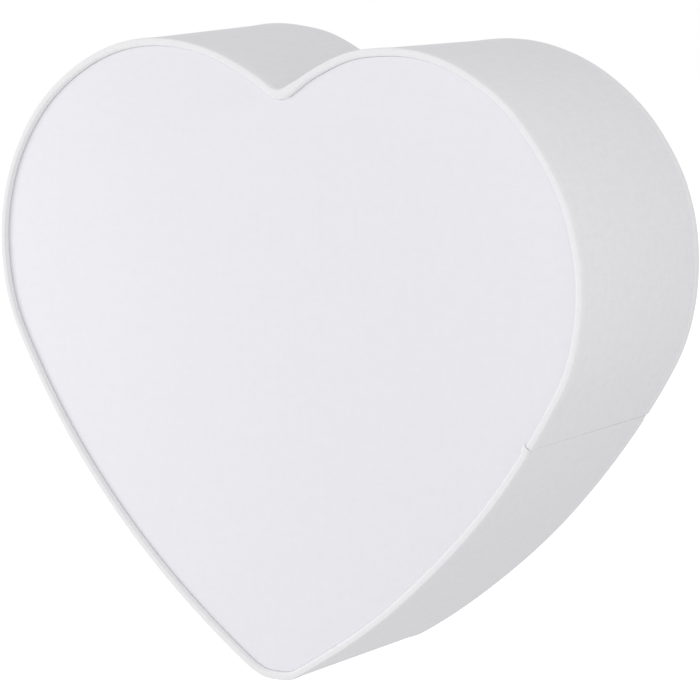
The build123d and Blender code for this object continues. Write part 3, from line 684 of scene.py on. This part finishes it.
def bandProfile():
    # a rectangle with rows of points along its two long sides
    depth = backRing - frontRing
    piece = flatProfile(band["thickness"], depth)
    bpy.ops.object.mode_set(mode="EDIT")
    bpy.ops.mesh.delete(type="ONLY_FACE")
    bpy.ops.mesh.select_mode(type="EDGE")
    mesh = bmesh.from_edit_mesh(piece.data)
    for edge in mesh.edges:
        edge.select_set(abs(edge.verts[0].co.y - edge.verts[1].co.y) > depth / 2)
    bmesh.update_edit_mesh(piece.data)
    bpy.ops.mesh.subdivide(number_cuts=band["rows"] - 1)
    bpy.ops.object.mode_set(mode="OBJECT")
    return piece


def cutLap(piece, runs, outward, depths, outer):
    # thins the hidden end on its face and the flap on its back, and opens a fine gap at the shoulder
    length = backRing - frontRing
    for vertex in piece.data.vertices:
        ring, place = divmod(vertex.index, len(depths))
        rest = runs[-1] - runs[ring]
        share = 0.5 + depths[place] / length  # 0 at the front ring, 1 at the back
        down = Vector((outward[ring].z, 0, -outward[ring].x))
        drift = band["tilt"] * (share - 0.5)
        groove = band["grooveFront"] + (band["grooveBack"] - band["grooveFront"]) * share ** 2
        if outer[place]:
            if runs[ring] <= band["lap"] + band["shoulder"] / 4:
                vertex.co -= outward[ring] * band["skive"]
            if abs(runs[ring] - band["lap"]) < 2 * band["shoulder"]:
                vertex.co += down * (drift + groove)
        else:
            thin = ease(1 - (rest - band["lap"]) / band["blend"])
            vertex.co += outward[ring] * thin * (band["thickness"] - band["flap"])
        if rest == 0:
            vertex.co += down * drift


def makeBand():
    clearSelection()
    piece = bandProfile()
    depths = [vertex.co.y for vertex in piece.data.vertices]
    outer = [vertex.co.x > 0 for vertex in piece.data.vertices]
    startProfile(band["lap"], band["sunk"] + band["thickness"] / 2, (frontRing + backRing) / 2)
    editAll()
    starts = ((band["lap"], band["lapStride"]), (band["shoulder"], band["edgeStride"]))
    ends = ((band["blend"], band["edgeStride"]), (band["lap"], band["lapStride"]))
    runs, outward = spinAlong(heartArcs(band["lap"], starts, ends))
    bpy.ops.object.mode_set(mode="OBJECT")
    clothMap(piece, runs, depths)
    cutLap(piece, runs, outward, depths, outer)
    closeEnds()
    piece = settle("shadeBand")
    dress(piece, "bandCloth styreneLining", "shade", "shade_laminate", "shade_band")
    for face in piece.data.polygons:
        inside = [not outer[v % len(depths)] for v in face.vertices]
        face.material_index = 1 if all(inside) else 0
    handBend(piece)
    smooth(piece, band["crease"])


roll = {
    "proud": 0.15 * mm,        # outside the drawn outline
    "width": 4.35 * mm,
    "depth": 4.4 * mm,
    "outerCorner": 0.9 * mm,
    "innerCorner": 1.8 * mm,
    "cornerSteps": 8,
    "gap": 0.5 * mm,           # between the two cut ends
    "gapStride": mm,
    "tuck": 3.6 * mm,          # the lower end is folded over and stands a little inwards
    "tuckStep": 0.8 * mm,
    "tuckIn": 1.0 * mm,
    "tuckOut": 0.2 * mm,
    "tuckStride": 0.4 * mm,
    "pinch": 0.5 * mm,         # its outer side is drawn in only towards the cut
    "pinchLength": 3.0 * mm,
    "lift": 0.1 * mm,          # the upper end rides up on the lap
    "liftStride": 2 * mm,
    "crease": 50,
}


def rollProfile():
    piece = flatProfile(roll["width"], roll["depth"])
    for side, corner in ((1, roll["outerCorner"]), (-1, roll["innerCorner"])):
        editAll("DESELECT")
        mesh = bmesh.from_edit_mesh(piece.data)
        for vertex in mesh.verts:
            atCorner = abs(abs(vertex.co.x) - roll["width"] / 2) < near
            vertex.select_set(atCorner and vertex.co.x * side > 0)
        bmesh.update_edit_mesh(piece.data)
        bpy.ops.mesh.bevel(offset=corner, segments=roll["cornerSteps"], affect="VERTICES")
    bpy.ops.mesh.select_all(action="SELECT")
    bpy.ops.mesh.delete(type="ONLY_FACE")
    bpy.ops.object.mode_set(mode="OBJECT")
    return piece


def foldEnds(piece, runs, outward, across, girth, depth):
    # tucks the lower end in at the seam and lifts the upper one on the lap
    for vertex in piece.data.vertices:
        ring, place = divmod(vertex.index, len(across))
        rest = runs[-1] - runs[ring]
        tucked = ease((roll["tuck"] + roll["tuckStep"] - runs[ring]) / roll["tuckStep"])
        lifted = ease(1 - (rest - band["lap"]) / (2 * band["lap"]))
        pinched = ease(1 - runs[ring] / roll["pinchLength"])
        inner = ease(0.25 + 2 * abs(across[place] / girth - 0.5))  # least on the outer side
        drawnIn = roll["tuckIn"] * tucked * inner + roll["pinch"] * pinched * (1 - inner)
        vertex.co += outward[ring] * (roll["lift"] * lifted - drawnIn)
        away = 1 if vertex.co.y > depth else -1
        vertex.co.y += away * roll["tuckOut"] * tucked


def makeRoll(name, depth, node):
    clearSelection()
    piece = rollProfile()
    girth = math.pi * (roll["width"] + roll["depth"]) / 2
    # the cloth's coordinate starts on the hidden inner side
    across = [(0.5 + math.atan2(v.co.y, v.co.x) / math.tau) * girth for v in piece.data.vertices]
    startProfile(-roll["gap"] / 2, roll["width"] / 2 - roll["proud"], depth)
    editAll()
    tuck = roll["tuck"] + roll["tuckStep"]
    ends = ((tuck, roll["liftStride"]), (roll["gap"] / 2, roll["gapStride"]))
    arcs = heartArcs(-roll["gap"] / 2, ((tuck, roll["tuckStride"]),), ends)
    arcs.pop()  # the last short arc stays open, as half of the gap
    runs, outward = spinAlong(arcs)
    bpy.ops.object.mode_set(mode="OBJECT")
    clothMap(piece, runs, across, girth)
    foldEnds(piece, runs, outward, across, girth, depth)
    closeEnds()
    piece = settle(name)
    dress(piece, "rollCloth", "shade", "roll_fabric", node)
    handBend(piece)
    smooth(piece, roll["crease"])


wire = {"radius": 1.5 * mm, "inset": 2.0 * mm, "sides": 12, "crease": 50}


def makeWire(name, depth, node):
    clearSelection()
    bpy.ops.mesh.primitive_circle_add(vertices=wire["sides"], radius=wire["radius"], fill_type="NOTHING")
    startProfile(0, wire["inset"], depth)
    editAll()
    spinAlong(heartArcs(0))
    bpy.ops.mesh.select_all(action="SELECT")
    bpy.ops.mesh.remove_doubles(threshold=closing)
    bpy.ops.mesh.normals_make_consistent(inside=False)
    piece = settle(name)
    dress(piece, "ring_steel", "shade", "ring_steel", node)
    handBend(piece)
    smooth(piece, wire["crease"])


# the turned-in edge of each hem, glued flat on the lining
hem = {"width": 8.0 * mm, "thickness": 0.35 * mm, "start": 1.6 * mm, "crease": 35}


def makeHem(name, ring, toward):
    clearSelection()
    piece = flatProfile(hem["thickness"], hem["width"])
    across = [v.co.y for v in piece.data.vertices]
    bpy.ops.object.mode_set(mode="EDIT")
    bpy.ops.mesh.delete(type="ONLY_FACE")
    bpy.ops.object.mode_set(mode="OBJECT")
    inset = band["sunk"] + band["thickness"] + hem["thickness"] / 2
    startProfile(0, inset, ring + toward * (hem["start"] + hem["width"] / 2))
    editAll()
    runs, outward = spinAlong(heartArcs(0))
    bpy.ops.object.mode_set(mode="OBJECT")
    clothMap(piece, runs, across)
    closeEnds()
    piece = settle(name)
    dress(piece, "rollCloth", "shade", "roll_fabric")
    handBend(piece)
    smooth(piece, hem["crease"])


makeBand()
makeRoll("frontRoll", frontRing, "front_roll")
makeRoll("backRoll", backRing, "back_roll")
makeWire("frontWire", frontRing, "front_ring_wire")
makeWire("backWire", backRing, "back_ring_wire")
makeHem("frontHem", frontRing, 1)
makeHem("backHem", backRing, -1)
print("shade is made")


# the front panel: cloth over a thin board, drawn round its edges

panelLow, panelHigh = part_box("face_panel")
panel = {
    "inset": 4.3 * mm,
    "edge": 0.3 * mm,         # radius of the cloth over the board's edge
    "edgeSteps": 6,
    "sunk": 0.2 * mm,
    "turnIn": 22.0 * mm,      # cloth glued down round the back of the board
    "step": 0.25 * mm,
    "crease": 40,
}


def makePanel():
    clearSelection()
    bpy.ops.mesh.primitive_plane_add(size=1)
    editAll()
    bpy.ops.mesh.merge(type="CENTER")
    bpy.ops.object.mode_set(mode="OBJECT")
    startProfile(0, panel["inset"], panelHigh.y)
    editAll()
    spinAlong(heartArcs(0))
    bpy.ops.mesh.select_all(action="SELECT")
    bpy.ops.mesh.remove_doubles(threshold=closing)
    bpy.ops.mesh.select_all(action="SELECT")
    bpy.ops.mesh.edge_face_add()
    height = panelHigh.y - panelLow.y - panel["sunk"]
    bpy.ops.mesh.extrude_region_move(TRANSFORM_OT_translate={"value": (0, panel["edge"] - height, 0)})
    last = 0.0
    for k in range(1, panel["edgeSteps"] + 1):
        turn = math.pi / 2 * k / panel["edgeSteps"]
        bpy.ops.mesh.inset(thickness=panel["edge"] * (math.cos(last) - math.cos(turn)), depth=0)
        bpy.ops.transform.translate(value=(0, panel["edge"] * (math.sin(last) - math.sin(turn)), 0))
        last = turn
    # the cloth's turned-in edge stands over the bare board at the back
    editAll("DESELECT")
    bpy.ops.mesh.select_mode(type="FACE")
    mesh = bmesh.from_edit_mesh(bpy.context.object.data)
    for face in mesh.faces:
        face.select_set(all(vertex.co.y > panelHigh.y - near for vertex in face.verts))
    bmesh.update_edit_mesh(bpy.context.object.data)
    bpy.ops.mesh.inset(thickness=panel["turnIn"], depth=0)
    bpy.ops.mesh.inset(thickness=panel["step"] / 2, depth=0)
    bpy.ops.transform.translate(value=(0, -panel["step"], 0))
    bpy.ops.mesh.select_all(action="SELECT")
    bpy.ops.mesh.normals_make_consistent(inside=False)
    piece = settle("frontPanel")
    dress(piece, "panelCloth styreneLining", "panel", "panel_fabric", "face_panel")
    for face in piece.data.polygons:
        board = abs(face.center.y - panelHigh.y + panel["step"]) < 2 * near and len(face.vertices) > 4
        face.material_index = 1 if board else 0
    handBend(piece)
    smooth(piece, panel["crease"])


makePanel()
print("panel is made")


# threads on the turned parts

lampAxis = Vector((0, sum(corner.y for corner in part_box("bulb_cap_right")) / 2, 0))
# in millimetres: points are (distance along the axis, radius), and the thread runs between two distances
# rings are the steps in a turn of the thread, and a sharp below 1 broadens its crests
threads = {
    # rolled lamp thread, 3.63 mm pitch, and the cap's rolled collar
    "bulb_cap": {
        "points": ((53.15, 0.0), (53.15, 10.2), (53.0, 10.4), (53.0, 12.0), (53.5, 12.35), (56.4, 12.35),
                   (57.4, 13.15), (75.6, 13.15), (76.4, 13.1), (78.5, 13.1), (78.5, 0.0)),
        "from": 57.4, "to": 75.6, "pitch": 3.63, "height": 0.9, "sharp": 1.0, "sides": 72, "rings": 10,
    },
    # M10 x 1 threaded tube
    "holder_nipple": {
        "points": ((14.5, 3.7), (14.5, 4.55), (15.0, 5.0), (32.0, 5.0), (32.0, 3.7), (14.5, 3.7)),
        "from": 14.5, "to": 32.0, "pitch": 1.0, "height": 0.5, "sharp": 0.6, "sides": 48, "rings": 6,
    },
    # M4 rolled thread, 0.7 mm pitch, with the collar that sits on the bar
    "stud": {
        "points": ((0.0, 0.0), (0.0, 1.95), (2.0, 1.95), (2.0, 2.5), (3.5, 2.5), (3.5, 1.95),
                   (27.6, 1.95), (28.0, 1.6), (28.0, 0.0)),
        "from": 3.5, "to": 27.6, "pitch": 0.7, "height": 0.4, "sharp": 0.6, "sides": 28, "rings": 6,
    },
}
threadCrease = 50


def lathe(points, centre, axis, sides):
    # turns a profile of (distance, radius) about the axis through the centre
    clearSelection()
    across = Vector((axis.y, axis.z, axis.x))
    start = centre + (axis * points[0][0] + across * points[0][1]) * mm
    bpy.ops.mesh.primitive_plane_add(size=1, location=start)
    editAll()
    bpy.ops.mesh.merge(type="CENTER")
    for (fromAlong, fromRadius), (along, radius) in zip(points, points[1:]):
        step = (axis * (along - fromAlong) + across * (radius - fromRadius)) * mm
        bpy.ops.mesh.extrude_region_move(TRANSFORM_OT_translate={"value": step})
    bpy.ops.mesh.select_all(action="SELECT")
    bpy.ops.mesh.spin(steps=sides, angle=math.tau, center=centre, axis=axis)
    bpy.ops.mesh.select_all(action="SELECT")
    bpy.ops.mesh.remove_doubles(threshold=near)
    bpy.ops.mesh.normals_make_consistent(inside=False)


def threadPoints(spec):
    # the profile, with enough points along its threaded stretch
    points = []
    for before, after in zip(spec["points"], spec["points"][1:]):
        points.append(before)
        length = after[0] - before[0]
        if before[0] >= spec["from"] and after[0] <= spec["to"] and length > spec["pitch"]:
            count = round(length / spec["pitch"] * spec["rings"])
            points += [(before[0] + length * k / count, before[1]) for k in range(1, count)]
    points.append(spec["points"][-1])
    return points


def cutThread(piece, spec, centre, axis):
    # sinks a helix into the outside, and leaves the bore and the middle of the ends alone
    across = Vector((axis.y, axis.z, axis.x))
    third = axis.cross(across)
    innermost = max(spec["points"][0][1] * mm + near, spec["height"] * mm)
    for vertex in piece.data.vertices:
        rel = vertex.co - centre
        along = rel.dot(axis) / mm
        radial = rel - axis * rel.dot(axis)
        if radial.length < innermost:
            continue
        fade = ease((along - spec["from"]) / spec["pitch"]) * ease((spec["to"] - along) / spec["pitch"])
        phase = math.atan2(radial.dot(third), radial.dot(across)) / math.tau
        wave = 0.5 - 0.5 * math.cos(math.tau * (along / spec["pitch"] - phase))
        vertex.co -= radial.normalized() * (1 - wave ** spec["sharp"]) * fade * spec["height"] * mm


def makeThreaded(name, kind, node, centre, axis):
    spec = threads[kind]
    lathe(threadPoints(spec), centre, axis, spec["sides"])
    piece = settle(name)
    cutThread(piece, spec, centre, axis)
    slot = slotOf[node]
    dress(piece, slot, nodes[node]["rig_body"], slot, node)
    smooth(piece, threadCrease)


for side, hand in (("left", -1), ("right", 1)):
    outwards = Vector((hand, 0, 0))
    makeThreaded(side + "LampCap", "bulb_cap", "bulb_cap_" + side, lampAxis, outwards)
    makeThreaded(side + "Nipple", "holder_nipple", "holder_nipple_" + side, lampAxis, outwards)
for level in ("upper", "lower"):
    low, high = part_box(level + "_stud")
    middle = Vector(((low.x + high.x) / 2, 0, (low.z + high.z) / 2))
    makeThreaded(level + "Stud", "stud", level + "_stud", middle, Vector((0, -1, 0)))
print("threads are cut")
